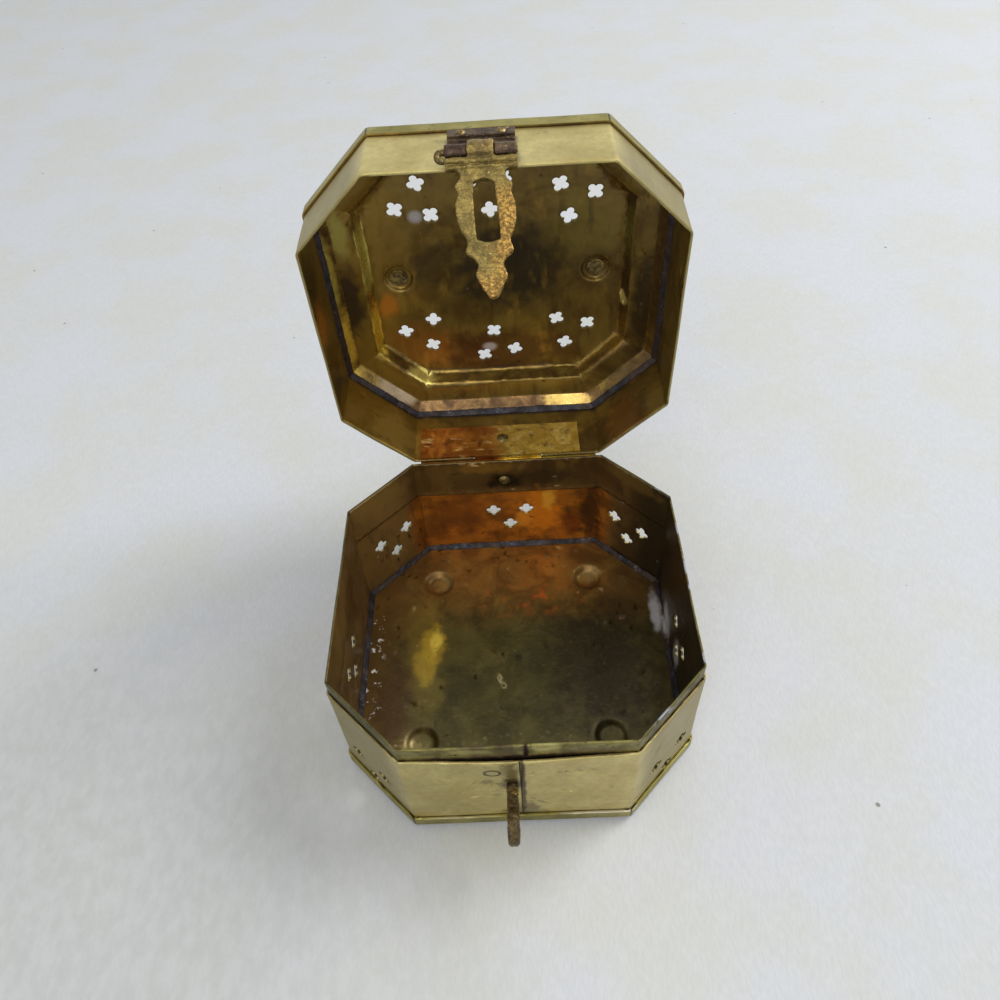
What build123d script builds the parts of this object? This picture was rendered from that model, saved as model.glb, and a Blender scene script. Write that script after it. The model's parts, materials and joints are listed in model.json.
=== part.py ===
from build123d import *
from math import cos, hypot, radians, sin, sqrt
import os

# Brass cricket box: an eight-sided sheet box with a stepped lid, standing open on its hinge.
# The frame: origin at the centre of the bottom plate's underside, +X right, +Y back, +Z up.
# Lengths are in millimetres. The lid is drawn closed and then opened about its hinge.

# Plan of the box
box_width = 112.0
box_depth = 110.6
corner_cut = 22.3
corner_radius = 1.4
wall_top = 44.0
wall_sheet = 0.7
nest_gap = 0.05

# Bottom plate
plate_sheet = 0.8
plate_flange_height = 4.2
foot_radius = 6.6
foot_flat_radius = 3.4
foot_drop = 2.0
back_foot_x = 29.0
back_foot_y = 36.5
front_left_foot_x = -33.0
front_right_foot_x = 31.0
front_foot_y = -29.0
solder_leg = 1.6

# Rim collar inside the wall, which the lid closes over
collar_sheet = 0.6
collar_height = 16.8
collar_rise = 6.3
collar_rivet_radius = 2.4
collar_rivet_x = -7.6
collar_rivet_drop = 8.0
rivet_tail_height = 0.5

# Seams of the wall and collar strips
seam_width = 0.3
seam_depth = 0.3
wall_seam_x = 0.4
collar_seam_x = 2.3

# Lid
lid_open_angle = 88.5
lid_side_clearance = 0.5
lid_edge_gap = 0.3
lid_sheet = 0.7
skirt_height = 24.0
lid_flange_height = 4.2
ledge_width = 1.9
outer_slope_width = 2.7
outer_slope_rise = 3.3
step_width = 7.4
step_rise = 0.9
inner_slope_width = 1.8
inner_slope_rise = 5.3

# Pierced quatrefoils
lobe_radius = 1.25
lobe_offset = 1.6
lobe_square = 2.2
side_group_half_width = 6.3
side_group_drop = 8.4
lid_group_radius = 6.6
back_holes_z = 22.0
side_holes_z = 21.0
front_holes_z = 15.5
right_holes_shift = 4.5
left_holes_shift = 7.0
front_chamfer_shift = 2.6

# Main hinge
hinge_x = 0.5
hinge_width = 64.0
lid_knuckle_length = 24.4
knuckle_gap = 0.3
barrel_radius = 2.2
hinge_pin_radius = 1.0
pin_clearance = 0.05
pin_overhang = 0.8
axis_behind_wall = 3.0
leaf_sheet = 0.7
web_drop = 0.3
notch_gap = 0.1
base_leaf_height = 9.0
lid_leaf_x = -2.4
lid_leaf_width = 58.4
lid_leaf_height = 15.0
leaf_edge_lift = 0.3
leaf_rivet_x = -1.2
leaf_rivet_radius = 0.9
leaf_rivet_head_radius = 2.1
leaf_rivet_flush_radius = 1.5
leaf_rivet_head_height = 0.9
leaf_rivet_from_edge = 8.8
base_rivet_below_top = 3.9

# Hasp, its fixed leaf and its pin
hasp_x = -1.7
hasp_pin_radius = 0.9
hasp_pin_out = 5.2
hasp_pin_past_edge = 1.2
hasp_tilt = 50.0
hasp_thickness = 1.8
hasp_lean = 1.7
hasp_half_width = 7.6
hasp_length = 38.0
hasp_neck_start = 4.9
hasp_knuckle_radius = 2.65
hasp_knuckle_length = 6.6
hasp_side_gap = 0.2
hasp_leaf_width = 18.4
hasp_leaf_sheet = 1.2
hasp_leaf_top = 16.4
hasp_leaf_edge_lift = 0.9
hasp_leaf_bar_height = 3.4
hasp_leaf_bar_thickness = 2.6
fixed_knuckle_radius = 1.8
cheek_height = 8.5
cheek_outer_y = -1.3
cheek_outer_z = 1.2
cheek_inner_y = 1.9
cheek_inner_z = 1.0
bar_start = 2.1
bar_length = 2.8
upper_bead_radius = 0.85
upper_bead_drop = 2.75
lower_bead_radius = 0.5
lower_bead_drop = 4.4
lower_bead_inset = 0.5
slot_start = 7.45
slot_length = 16.5
slot_top_half = 2.7
slot_middle_half = 3.1
slot_end_half = 3.1
slot_crown = 0.9
pin_tail_length = 0.9
pin_tail_gap = 0.3
pin_tail_spread = 1.1
small_rivet_radius = 0.8
small_rivet_head_radius = 1.4
small_rivet_head_height = 0.6
small_rivet_spacing = 11.0

# Turn staple
staple_x = -2.2
staple_below_wall_top = 17.7
staple_thickness = 2.9
staple_edge_round = 0.6
staple_eye_outer_radius = 5.0
staple_eye_hole_radius = 2.5
staple_neck_radius = 1.5
staple_shank_radius = 1.3
staple_running_gap = 0.06
staple_face_gap = 0.45
staple_wall_gap = 0.2
staple_washer_radius = 3.0
staple_washer_thickness = 0.6
staple_washer_gap = 0.1
staple_tail_radius = 1.9
staple_tail_length = 0.7

# Bail handle and its posts
post_x = 33.6
post_boss_radius = 5.5
post_boss_flat_radius = 4.2
post_boss_rise = 1.3
post_foot_radius = 3.9
post_foot_height = 1.0
post_neck_radius = 1.9
post_height = 5.6
post_head_radius = 3.0
post_tenon_radius = 1.4
post_washer_radius = 3.0
post_washer_thickness = 0.5
post_tail_radius = 2.2
post_tail_length = 0.6
handle_wire_radius = 1.5
handle_eye_clearance = 0.08
handle_leg_inset = 5.2
handle_reach = 17.0
handle_elbow_radius = 3.0
handle_shoulder_radius = 10.0
handle_end_length = 4.4
handle_button_radius = 2.2
handle_button_length = 1.6
grip_radius = 2.5
grip_length = 22.0

# Places worked out from the sizes above
half_width = box_width / 2
half_depth = box_depth / 2
chamfer_sum = half_width + half_depth - corner_cut
collar_inset = wall_sheet + nest_gap
collar_back_inset = wall_sheet + leaf_sheet + nest_gap
collar_top = wall_top + collar_rise
lid_edge = wall_top + lid_edge_gap
skirt_inner_inset = collar_inset - lid_side_clearance
skirt_inset = skirt_inner_inset - lid_sheet
lid_flange_inset = skirt_inset - nest_gap - lid_sheet
plate_flange_inset = -nest_gap - plate_sheet
skirt_top = lid_edge + skirt_height
hinge_y = half_depth + axis_behind_wall
hinge_z = wall_top
skirt_front_y = skirt_inset - half_depth
skirt_back_y = half_depth - skirt_inset
hasp_pin_y = skirt_front_y - hasp_pin_out
hasp_pin_z = lid_edge - hasp_pin_past_edge
staple_z = wall_top - staple_below_wall_top
staple_eye_y = hasp_pin_y - hasp_thickness / 2 - staple_face_gap - staple_eye_outer_radius
panel_inset = skirt_inset + ledge_width + outer_slope_width + step_width + inner_slope_width
panel_z = skirt_top + outer_slope_rise + step_rise + inner_slope_rise
post_base_z = panel_z + lid_sheet + post_boss_rise
handle_axis_z = post_base_z + post_height


def plan(inset, back_extra=0.0):
    """Face of the box's eight-sided plan, moved in by inset, and more at the back side if asked."""
    w = half_width - inset
    front = half_depth - inset
    back = front - back_extra
    reach = chamfer_sum - inset * sqrt(2)
    corners = [
        (back - reach, back), (-w, reach - w), (-w, w - reach), (front - reach, -front),
        (reach - front, -front), (w, w - reach), (w, reach - w), (reach - back, back),
    ]
    face = Polygon(*corners, align=None)
    return fillet(face.vertices(), max(corner_radius - inset, 0.4))


def prism(inset, low, high, back_extra=0.0):
    return Pos(0, 0, low) * extrude(plan(inset, back_extra), high - low)


def strip(inset, sheet, low, high, back_extra=0.0):
    """An upright strip of sheet bent round the plan."""
    return prism(inset, low, high, back_extra) - prism(inset + sheet, low - 1, high + 1, back_extra)


def taper(low_inset, low, high_inset, high):
    """A block whose sides slope from one plan to a smaller one above it, or the other way up."""
    return loft([Pos(0, 0, low) * plan(low_inset), Pos(0, 0, high) * plan(high_inset)], ruled=True)


def rod(radius, start, end):
    """A round bar between two points."""
    a = Vector(*start)
    b = Vector(*end)
    return Plane(origin=a, z_dir=b - a) * Cylinder(
        radius, (b - a).length, align=(Align.CENTER, Align.CENTER, Align.MIN))


def block(low, high):
    """A box between its lowest and highest corners."""
    size = [high[k] - low[k] for k in range(3)]
    return Pos(*low) * Box(*size, align=(Align.MIN, Align.MIN, Align.MIN))


def dome(radius, height, place):
    """A low rivet head, standing along the placed plane's normal."""
    ball = (radius**2 + height**2) / (2 * height)
    cap = Pos(0, 0, height - ball) * Sphere(ball)
    keep = Cylinder(radius * 2, height, align=(Align.CENTER, Align.CENTER, Align.MIN))
    return place * (cap & keep)


def cone(low_radius, high_radius, height):
    return Cone(low_radius, high_radius, height, align=(Align.CENTER, Align.CENTER, Align.MIN))


def opened(shape):
    """Turns a piece of the closed lid to where it stands when the lid is open."""
    return shape.rotate(Axis((0, hinge_y, hinge_z), (1, 0, 0)), -lid_open_angle)


def quatrefoil(depth):
    """The punch for one pierced hole: four lobes round a square."""
    lobes = Rectangle(lobe_square, lobe_square)
    for turn in range(4):
        lobes += Rot(0, 0, 90 * turn) * Pos(lobe_offset, 0) * Circle(lobe_radius)
    return extrude(lobes, depth / 2, both=True)


def side_holes(outward, side_distance, along, height):
    """Three holes on one side of the base, two above one; outward is the side's compass angle."""
    punches = []
    for across, rise in ((-side_group_half_width, 0), (side_group_half_width, 0), (0, -side_group_drop)):
        face = Rot(0, 0, outward) * Pos(side_distance, along + across, height + rise) * Rot(0, 90, 0)
        punches.append(face * quatrefoil(8 * wall_sheet))
    return punches


def pressed_cap(mouth_radius, flat_radius, depth, low):
    """A round cap with a flat top and smoothly curved sides, on a plane at low."""
    side = Spline((mouth_radius, low), (flat_radius, low + depth), tangents=[(-1, 0), (-1, 0)])
    rest = Polyline((flat_radius, low + depth), (0, low + depth), (0, low), (mouth_radius, low))
    return revolve(Plane.XZ * make_face(side + rest), Axis.Z)


def dimple(mouth_radius, flat_radius, depth, sheet):
    """A round pressing out of a flat sheet at z = 0 to sheet: what it adds above, and its hollow."""
    boss = pressed_cap(mouth_radius, flat_radius, depth, sheet)
    hollow = pressed_cap(mouth_radius, flat_radius - sheet / 2, depth, 0)
    return boss, hollow


def make_bottom_plate():
    plate = prism(plate_flange_inset, 0, plate_flange_height)
    plate -= prism(-nest_gap, plate_sheet, plate_flange_height + 1)
    feet = [
        (-back_foot_x, back_foot_y), (back_foot_x, back_foot_y),
        (front_left_foot_x, front_foot_y), (front_right_foot_x, front_foot_y),
    ]
    for x, y in feet:
        boss, hollow = dimple(foot_radius, foot_flat_radius, foot_drop, plate_sheet)
        down = Pos(x, y, plate_sheet) * Rot(180, 0, 0)
        plate = plate + down * boss - down * hollow
    return plate


def make_base_wall():
    wall = strip(0, wall_sheet, plate_sheet, wall_top)
    chamfer_distance = chamfer_sum / sqrt(2)
    groups = [
        (90, half_depth, 0, back_holes_z),
        (45, chamfer_distance, 0, back_holes_z),
        (135, chamfer_distance, 0, back_holes_z),
        (0, half_width, -right_holes_shift, side_holes_z),
        (180, half_width, left_holes_shift, side_holes_z),
        (225, chamfer_distance, -front_chamfer_shift, front_holes_z),
        (315, chamfer_distance, front_chamfer_shift, front_holes_z),
    ]
    for outward, distance, along, height in groups:
        for punch in side_holes(outward, distance, along, height):
            wall -= punch
    notch_floor = hinge_z - web_drop - leaf_sheet - notch_gap
    half = hinge_width / 2 + knuckle_gap
    wall -= block((hinge_x - half, half_depth - 2 * wall_sheet, notch_floor),
                  (hinge_x + half, half_depth + 1, wall_top + 1))
    wall -= block((wall_seam_x - seam_width / 2, -half_depth - 1, plate_flange_height + nest_gap),
                  (wall_seam_x + seam_width / 2, seam_depth - half_depth, wall_top + 1))
    wall -= rod(collar_rivet_radius, (collar_rivet_x, -half_depth - 1, wall_top - collar_rivet_drop),
                (collar_rivet_x, 3 - half_depth, wall_top - collar_rivet_drop))
    wall -= rod(leaf_rivet_radius, (leaf_rivet_x, half_depth - 3, wall_top - base_rivet_below_top),
                (leaf_rivet_x, half_depth + 1, wall_top - base_rivet_below_top))
    wall -= rod(staple_shank_radius + staple_running_gap, (staple_x, -half_depth - 1, staple_z),
                (staple_x, 3 - half_depth, staple_z))
    return wall


def make_rim_collar():
    back_extra = collar_back_inset - collar_inset
    collar = strip(collar_inset, collar_sheet, collar_top - collar_height, collar_top, back_extra)
    front = collar_inset - half_depth
    collar -= block((collar_seam_x - seam_width / 2, front - 1, wall_top),
                    (collar_seam_x + seam_width / 2, front + seam_depth, collar_top + 1))
    collar -= rod(collar_rivet_radius, (collar_rivet_x, -half_depth, wall_top - collar_rivet_drop),
                  (collar_rivet_x, 3 - half_depth, wall_top - collar_rivet_drop))
    collar -= rod(leaf_rivet_radius, (leaf_rivet_x, half_depth - 4, wall_top - base_rivet_below_top),
                  (leaf_rivet_x, half_depth, wall_top - base_rivet_below_top))
    return collar


def make_collar_rivet():
    z = wall_top - collar_rivet_drop
    inner = collar_inset + collar_sheet - half_depth
    head = dome(collar_rivet_radius * 1.2, rivet_tail_height,
                Plane(origin=(collar_rivet_x, inner, z), z_dir=(0, 1, 0)))
    return rod(collar_rivet_radius, (collar_rivet_x, -half_depth, z), (collar_rivet_x, inner, z)) + head


def make_base_solder():
    bead = prism(wall_sheet, plate_sheet, plate_sheet + solder_leg)
    return bead - taper(wall_sheet + solder_leg, plate_sheet, wall_sheet, plate_sheet + solder_leg)


def make_base_hinge_leaf():
    inner = half_depth - wall_sheet - leaf_sheet
    top = hinge_z - web_drop
    half = hinge_width / 2
    leaf = block((hinge_x - half, inner, top - base_leaf_height), (hinge_x + half, inner + leaf_sheet, top))
    start = lid_knuckle_length / 2 + knuckle_gap
    bore = hinge_pin_radius + pin_clearance
    for side in (-1, 1):
        low, high = sorted((hinge_x + side * start, hinge_x + side * half))
        leaf += block((low, inner, top - leaf_sheet), (high, hinge_y, top))
        leaf += rod(barrel_radius, (low, hinge_y, hinge_z), (high, hinge_y, hinge_z))
    leaf -= rod(bore, (hinge_x - half - 1, hinge_y, hinge_z), (hinge_x + half + 1, hinge_y, hinge_z))
    leaf -= rod(leaf_rivet_radius, (leaf_rivet_x, inner - 1, wall_top - base_rivet_below_top),
                (leaf_rivet_x, inner + 3, wall_top - base_rivet_below_top))
    return leaf


def leaf_rivet(inner_y, outer_y, z):
    """A rivet through sheets from inner_y to outer_y, domed inside the box and near flush outside."""
    rivet = rod(leaf_rivet_radius, (leaf_rivet_x, inner_y, z), (leaf_rivet_x, outer_y, z))
    rivet += dome(leaf_rivet_head_radius, leaf_rivet_head_height,
                  Plane(origin=(leaf_rivet_x, inner_y, z), z_dir=(0, -1, 0)))
    rivet += dome(leaf_rivet_flush_radius, rivet_tail_height,
                  Plane(origin=(leaf_rivet_x, outer_y, z), z_dir=(0, 1, 0)))
    return rivet


def make_base_leaf_rivet():
    inner = half_depth - collar_back_inset - collar_sheet
    return leaf_rivet(inner, half_depth, wall_top - base_rivet_below_top)


def make_hinge_pin():
    reach = hinge_width / 2 + pin_overhang
    return rod(hinge_pin_radius, (hinge_x - reach, hinge_y, hinge_z), (hinge_x + reach, hinge_y, hinge_z))


def make_lid_wall():
    wall = strip(skirt_inset, lid_sheet, lid_edge, skirt_top)
    half = lid_knuckle_length / 2 + knuckle_gap
    wall -= block((hinge_x - half, skirt_back_y - 2 * lid_sheet, lid_edge - 1),
                  (hinge_x + half, skirt_back_y + 1, hinge_z + web_drop + leaf_sheet + notch_gap))
    z = lid_edge + leaf_rivet_from_edge
    wall -= rod(leaf_rivet_radius, (leaf_rivet_x, skirt_back_y - 2, z), (leaf_rivet_x, skirt_back_y + 1, z))
    for x, z in small_rivet_places():
        wall -= rod(small_rivet_radius, (x, skirt_front_y - 1, z), (x, skirt_front_y + 2, z))
    return wall


def mitre(profile, sheet):
    """Moves a profile of (inset, height) points out by the sheet, square to each of its runs."""
    moved = []
    for k, (x, z) in enumerate(profile):
        normals = []
        for a, b in ((k - 1, k), (k, k + 1)):
            if a >= 0 and b < len(profile):
                dx = profile[b][0] - profile[a][0]
                dz = profile[b][1] - profile[a][1]
                normals.append((-dz / hypot(dx, dz), dx / hypot(dx, dz)))
        nx = sum(n[0] for n in normals)
        nz = sum(n[1] for n in normals)
        scale = sheet * len(normals) / (nx * nx + nz * nz)
        moved.append((x + nx * scale, z + nz * scale))
    return moved


def stepped_block(profile, low):
    """The solid under a stepped lid profile, down to a flat bottom at low."""
    body = prism(profile[0][0], low, profile[0][1])
    for (x0, z0), (x1, z1) in zip(profile, profile[1:]):
        if z1 - z0 > 0.01:
            body += taper(x0, z0, x1, z1)
    return body


def lid_profile():
    """Insets and heights of the top plate's inside, from the ledge on the skirt to the panel."""
    points = [(skirt_inset + ledge_width, skirt_top)]
    steps = ((outer_slope_width, outer_slope_rise), (step_width, step_rise),
             (inner_slope_width, inner_slope_rise))
    for width, rise in steps:
        points.append((points[-1][0] + width, points[-1][1] + rise))
    return points


def lid_hole_places():
    """Centres and turns of the lid's holes: six groups of three, three along the front and the back."""
    groups = [
        (-25.0, -27.5, 42), (-1.6, -30.5, 84), (26.0, -26.5, 106),
        (-27.5, 23.0, 66), (-1.2, 30.5, 20), (25.0, 24.5, 104),
    ]
    places = []
    for x, y, turn in groups:
        for k in range(3):
            angle = turn + 120 * k
            places.append((x + lid_group_radius * cos(radians(angle)),
                           y + lid_group_radius * sin(radians(angle)), turn + 15 * k))
    return places


def make_lid_top_plate():
    inside = lid_profile()
    before = (inside[0][0] - 1, inside[0][1])
    after = (inside[-1][0] + 1, inside[-1][1])
    outside = mitre([before] + inside + [after], lid_sheet)[1:-1]
    rim_top = skirt_top + lid_sheet
    flange_bottom = rim_top - lid_flange_height
    plate = prism(lid_flange_inset, flange_bottom, rim_top) + stepped_block(outside, skirt_top)
    plate -= prism(skirt_inset - nest_gap, flange_bottom - 1, skirt_top)
    plate -= stepped_block(inside, flange_bottom)
    for x in (-post_x, post_x):
        boss, hollow = dimple(post_boss_radius, post_boss_flat_radius, post_boss_rise, lid_sheet)
        here = Pos(x, 0, panel_z)
        plate = plate + here * boss - here * hollow
        plate -= Pos(x, 0, panel_z) * Cylinder(post_tenon_radius, 20)
    for x, y, turn in lid_hole_places():
        plate -= Pos(x, y, panel_z) * Rot(0, 0, turn) * quatrefoil(8 * lid_sheet)
    return plate


def make_lid_solder():
    inset = skirt_inner_inset
    bead = prism(inset, skirt_top - solder_leg, skirt_top)
    return bead - taper(inset, skirt_top - solder_leg, inset + solder_leg, skirt_top)


def make_lid_hinge_leaf():
    outer = skirt_back_y - lid_sheet
    inner = outer - leaf_sheet
    low = lid_edge + leaf_edge_lift
    half = lid_leaf_width / 2
    leaf = block((lid_leaf_x - half, inner, low), (lid_leaf_x + half, outer, low + lid_leaf_height))
    reach = lid_knuckle_length / 2
    web = hinge_z + web_drop
    leaf += block((hinge_x - reach, inner, web), (hinge_x + reach, outer, low + leaf_sheet))
    leaf += block((hinge_x - reach, inner, web), (hinge_x + reach, hinge_y, web + leaf_sheet))
    leaf += rod(barrel_radius, (hinge_x - reach, hinge_y, hinge_z), (hinge_x + reach, hinge_y, hinge_z))
    bore = hinge_pin_radius + pin_clearance
    leaf -= rod(bore, (hinge_x - reach - 1, hinge_y, hinge_z), (hinge_x + reach + 1, hinge_y, hinge_z))
    z = lid_edge + leaf_rivet_from_edge
    leaf -= rod(leaf_rivet_radius, (leaf_rivet_x, inner - 1, z), (leaf_rivet_x, outer + 1, z))
    return leaf


def make_lid_leaf_rivet():
    inner = skirt_back_y - lid_sheet - leaf_sheet
    return leaf_rivet(inner, skirt_back_y, lid_edge + leaf_rivet_from_edge)


def small_rivet_places():
    z = lid_edge + hasp_leaf_top - hasp_leaf_bar_height / 2
    return [(hasp_x - small_rivet_spacing / 2, z), (hasp_x + small_rivet_spacing / 2, z)]


def make_hasp_leaf():
    half = hasp_leaf_width / 2
    face = skirt_front_y
    low = lid_edge + hasp_leaf_edge_lift
    top = lid_edge + hasp_leaf_top
    leaf = block((hasp_x - half, face - hasp_leaf_sheet, low), (hasp_x + half, face, top))
    leaf += block((hasp_x - half, face - hasp_leaf_bar_thickness, top - hasp_leaf_bar_height),
                  (hasp_x + half, face, top))
    plate_y = face - hasp_leaf_sheet
    y = hasp_pin_y
    z = hasp_pin_z
    root_y = plate_y + hasp_leaf_sheet / 2
    side = Polygon((y + cheek_outer_y, z + cheek_outer_z), (y + cheek_inner_y, z + cheek_inner_z),
                   (root_y, low), (root_y, low + cheek_height), (plate_y, low + cheek_height), align=None)
    start = hasp_knuckle_length / 2 + hasp_side_gap
    for a, b in ((hasp_x - half, hasp_x - start), (hasp_x + start, hasp_x + half)):
        leaf += Plane(origin=(a, 0, 0), x_dir=(0, 1, 0), z_dir=(1, 0, 0)) * extrude(side, b - a)
        leaf += rod(fixed_knuckle_radius, (a, y, z), (b, y, z))
    bore = hasp_pin_radius + pin_clearance
    leaf -= rod(bore, (hasp_x - half - 1, y, z), (hasp_x + half + 1, y, z))
    for x, rivet_z in small_rivet_places():
        leaf -= rod(small_rivet_radius, (x, face - 5, rivet_z), (x, face + 1, rivet_z))
    return leaf


def make_hasp_leaf_rivets():
    outer = skirt_front_y - hasp_leaf_bar_thickness
    inner = skirt_front_y + lid_sheet
    rivets = []
    for x, z in small_rivet_places():
        rivet = rod(small_rivet_radius, (x, outer, z), (x, inner, z))
        rivet += dome(small_rivet_head_radius, small_rivet_head_height,
                      Plane(origin=(x, outer, z), z_dir=(0, -1, 0)))
        rivet += dome(small_rivet_head_radius, rivet_tail_height,
                      Plane(origin=(x, inner, z), z_dir=(0, 1, 0)))
        rivets.append(rivet)
    return Compound(children=[r.solid() for r in rivets])


def rest_pin_place():
    """Where the hasp's pin axis stands when the lid is open."""
    dy = hasp_pin_y - hinge_y
    dz = hasp_pin_z - hinge_z
    c = cos(radians(-lid_open_angle))
    s = sin(radians(-lid_open_angle))
    return hinge_y + dy * c - dz * s, hinge_z + dy * s + dz * c


def hung(shape):
    """Moves a piece drawn hanging from a pin at the origin to the open lid, tilted as it stays."""
    y, z = rest_pin_place()
    return Pos(hasp_x, y, z) * Rot(-hasp_tilt, 0, 0) * shape


def make_hasp_pin():
    half = hasp_leaf_width / 2
    bend_x = -half - pin_tail_length
    low = -2 * pin_tail_spread
    straight = Edge.make_line((half + pin_tail_gap, 0, 0), (bend_x, 0, 0))
    turn = (bend_x - pin_tail_spread, 0, low / 2)
    bend = Edge.make_three_point_arc((bend_x, 0, 0), turn, (bend_x, 0, low))
    tail = Edge.make_line((bend_x, 0, low), (-half - pin_tail_gap, 0, low))
    path = Wire([straight, bend, tail])
    section = Plane(origin=path @ 0, z_dir=path % 0) * Circle(hasp_pin_radius)
    return hung(sweep(section, path=path))


def hasp_edges():
    """The hasp's right and left edges below its mouldings, as (across, below the pin) down to the tip."""
    shares = [
        (0.87, 0.00), (0.75, 0.045), (0.79, 0.08), (0.96, 0.136), (0.89, 0.178), (0.95, 0.233), (1.00, 0.335),
        (0.96, 0.41), (0.84, 0.486), (0.71, 0.565), (0.74, 0.60), (0.79, 0.634), (0.60, 0.674), (0.46, 0.716),
        (0.41, 0.752), (0.51, 0.819), (0.41, 0.879), (0.30, 0.933), (0.17, 0.976),
    ]
    reach = hasp_length - hasp_neck_start
    rows = [(across * hasp_half_width, hasp_neck_start + down * reach) for across, down in shares]
    right = [(lean_at(down) + across, down) for across, down in rows]
    left = [(lean_at(down) - across, down) for across, down in rows]
    return right, left


def lean_at(down):
    """How far the hand-made hasp's middle line has strayed to the right, that far below the pin."""
    return hasp_lean * down / hasp_length


def make_hasp():
    half = hasp_leaf_width / 2
    right, left = hasp_edges()
    tip = (lean_at(hasp_length), -hasp_length)
    face = make_face(Curve() + [
        Spline(*[(x, -d) for x, d in right]),
        Spline(*[(x, -d) for x, d in left]),
        Line((left[0][0], -left[0][1]), (right[0][0], -right[0][1])),
        ThreePointArc((right[-1][0], -right[-1][1]), tip, (left[-1][0], -left[-1][1])),
    ])
    slot_end = slot_start + slot_length
    middle = -(slot_start + slot_end) / 2
    upper = -slot_start - slot_crown
    lower = slot_crown - slot_end
    a, b, c = (lean_at(-level) for level in (upper, middle, lower))
    slot = make_face(Curve() + [
        ThreePointArc((a - slot_top_half, upper), (a, -slot_start), (a + slot_top_half, upper)),
        ThreePointArc((a + slot_top_half, upper), (b + slot_middle_half, middle), (c + slot_end_half, lower)),
        ThreePointArc((c + slot_end_half, lower), (c, -slot_end), (c - slot_end_half, lower)),
        ThreePointArc((c - slot_end_half, lower), (b - slot_middle_half, middle), (a - slot_top_half, upper)),
    ])
    upright = Plane(origin=(0, 0, 0), x_dir=(1, 0, 0), z_dir=(0, -1, 0))
    body = upright * extrude(face - slot, hasp_thickness / 2, both=True)
    back = hasp_thickness / 2
    body += block((-half, -back, -bar_start - bar_length), (half, back, -bar_start))
    body += block((-right[0][0], -back, -hasp_neck_start), (right[0][0], back, -bar_start))
    body += rod(upper_bead_radius, (-half, -back, -upper_bead_drop), (half, -back, -upper_bead_drop))
    lower = half - lower_bead_inset
    body += rod(lower_bead_radius, (-lower, -back, -lower_bead_drop), (lower, -back, -lower_bead_drop))
    reach = hasp_knuckle_length / 2
    body += block((-reach, -back, -bar_start - 0.1), (reach, back, 0))
    body += rod(hasp_knuckle_radius, (-reach, 0, 0), (reach, 0, 0))
    body -= rod(hasp_pin_radius + pin_clearance, (-reach - 1, 0, 0), (reach + 1, 0, 0))
    return hung(body)


def make_staple():
    y = -half_depth - staple_wall_gap
    neck_end = staple_eye_y + staple_eye_outer_radius - 1
    staple = rod(staple_neck_radius, (staple_x, y, staple_z), (staple_x, neck_end, staple_z))
    half = staple_thickness / 2
    a = (staple_x - half, staple_eye_y, staple_z)
    b = (staple_x + half, staple_eye_y, staple_z)
    eye = rod(staple_eye_outer_radius, a, b)
    eye = chamfer(eye.edges().filter_by(GeomType.CIRCLE), staple_edge_round)
    staple += eye
    staple -= rod(staple_eye_hole_radius, (a[0] - 1, a[1], a[2]), (b[0] + 1, b[1], b[2]))
    inner = wall_sheet - half_depth
    washer_end = inner + staple_washer_gap + staple_washer_thickness
    staple += rod(staple_shank_radius, (staple_x, y, staple_z), (staple_x, washer_end, staple_z))
    staple += rod(staple_tail_radius, (staple_x, washer_end, staple_z),
                  (staple_x, washer_end + staple_tail_length, staple_z))
    return staple


def make_staple_washer():
    inner = wall_sheet - half_depth + staple_washer_gap
    end = inner + staple_washer_thickness
    washer = rod(staple_washer_radius, (staple_x, inner, staple_z), (staple_x, end, staple_z))
    return washer - rod(staple_shank_radius, (staple_x, inner - 1, staple_z), (staple_x, end + 1, staple_z))


def make_handle_post(x):
    def up(z):
        return Pos(x, 0, z)
    lift = (Align.CENTER, Align.CENTER, Align.MIN)
    post = up(post_base_z) * Cylinder(post_foot_radius, post_foot_height, align=lift)
    post += up(post_base_z) * Cylinder(post_neck_radius, post_height, align=lift)
    post += up(handle_axis_z) * Sphere(post_head_radius)
    underside = panel_z + post_boss_rise
    tail_top = underside - post_washer_thickness
    post += up(tail_top) * Cylinder(post_tenon_radius, post_base_z - tail_top, align=lift)
    post += up(tail_top - post_tail_length) * Cylinder(post_tail_radius, post_tail_length, align=lift)
    reach = 2 * post_head_radius
    eye_radius = handle_wire_radius + handle_eye_clearance
    post -= rod(eye_radius, (x - reach, 0, handle_axis_z), (x + reach, 0, handle_axis_z))
    return post


def make_handle_post_washers():
    lift = (Align.CENTER, Align.CENTER, Align.MIN)
    low = panel_z + post_boss_rise - post_washer_thickness
    washers = []
    for x in (-post_x, post_x):
        washer = Pos(x, 0, low) * Cylinder(post_washer_radius, post_washer_thickness, align=lift)
        washers.append(washer - Pos(x, 0, low) * Cylinder(post_tenon_radius, 4 * post_washer_thickness))
    return Compound(children=[w.solid() for w in washers])


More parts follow.
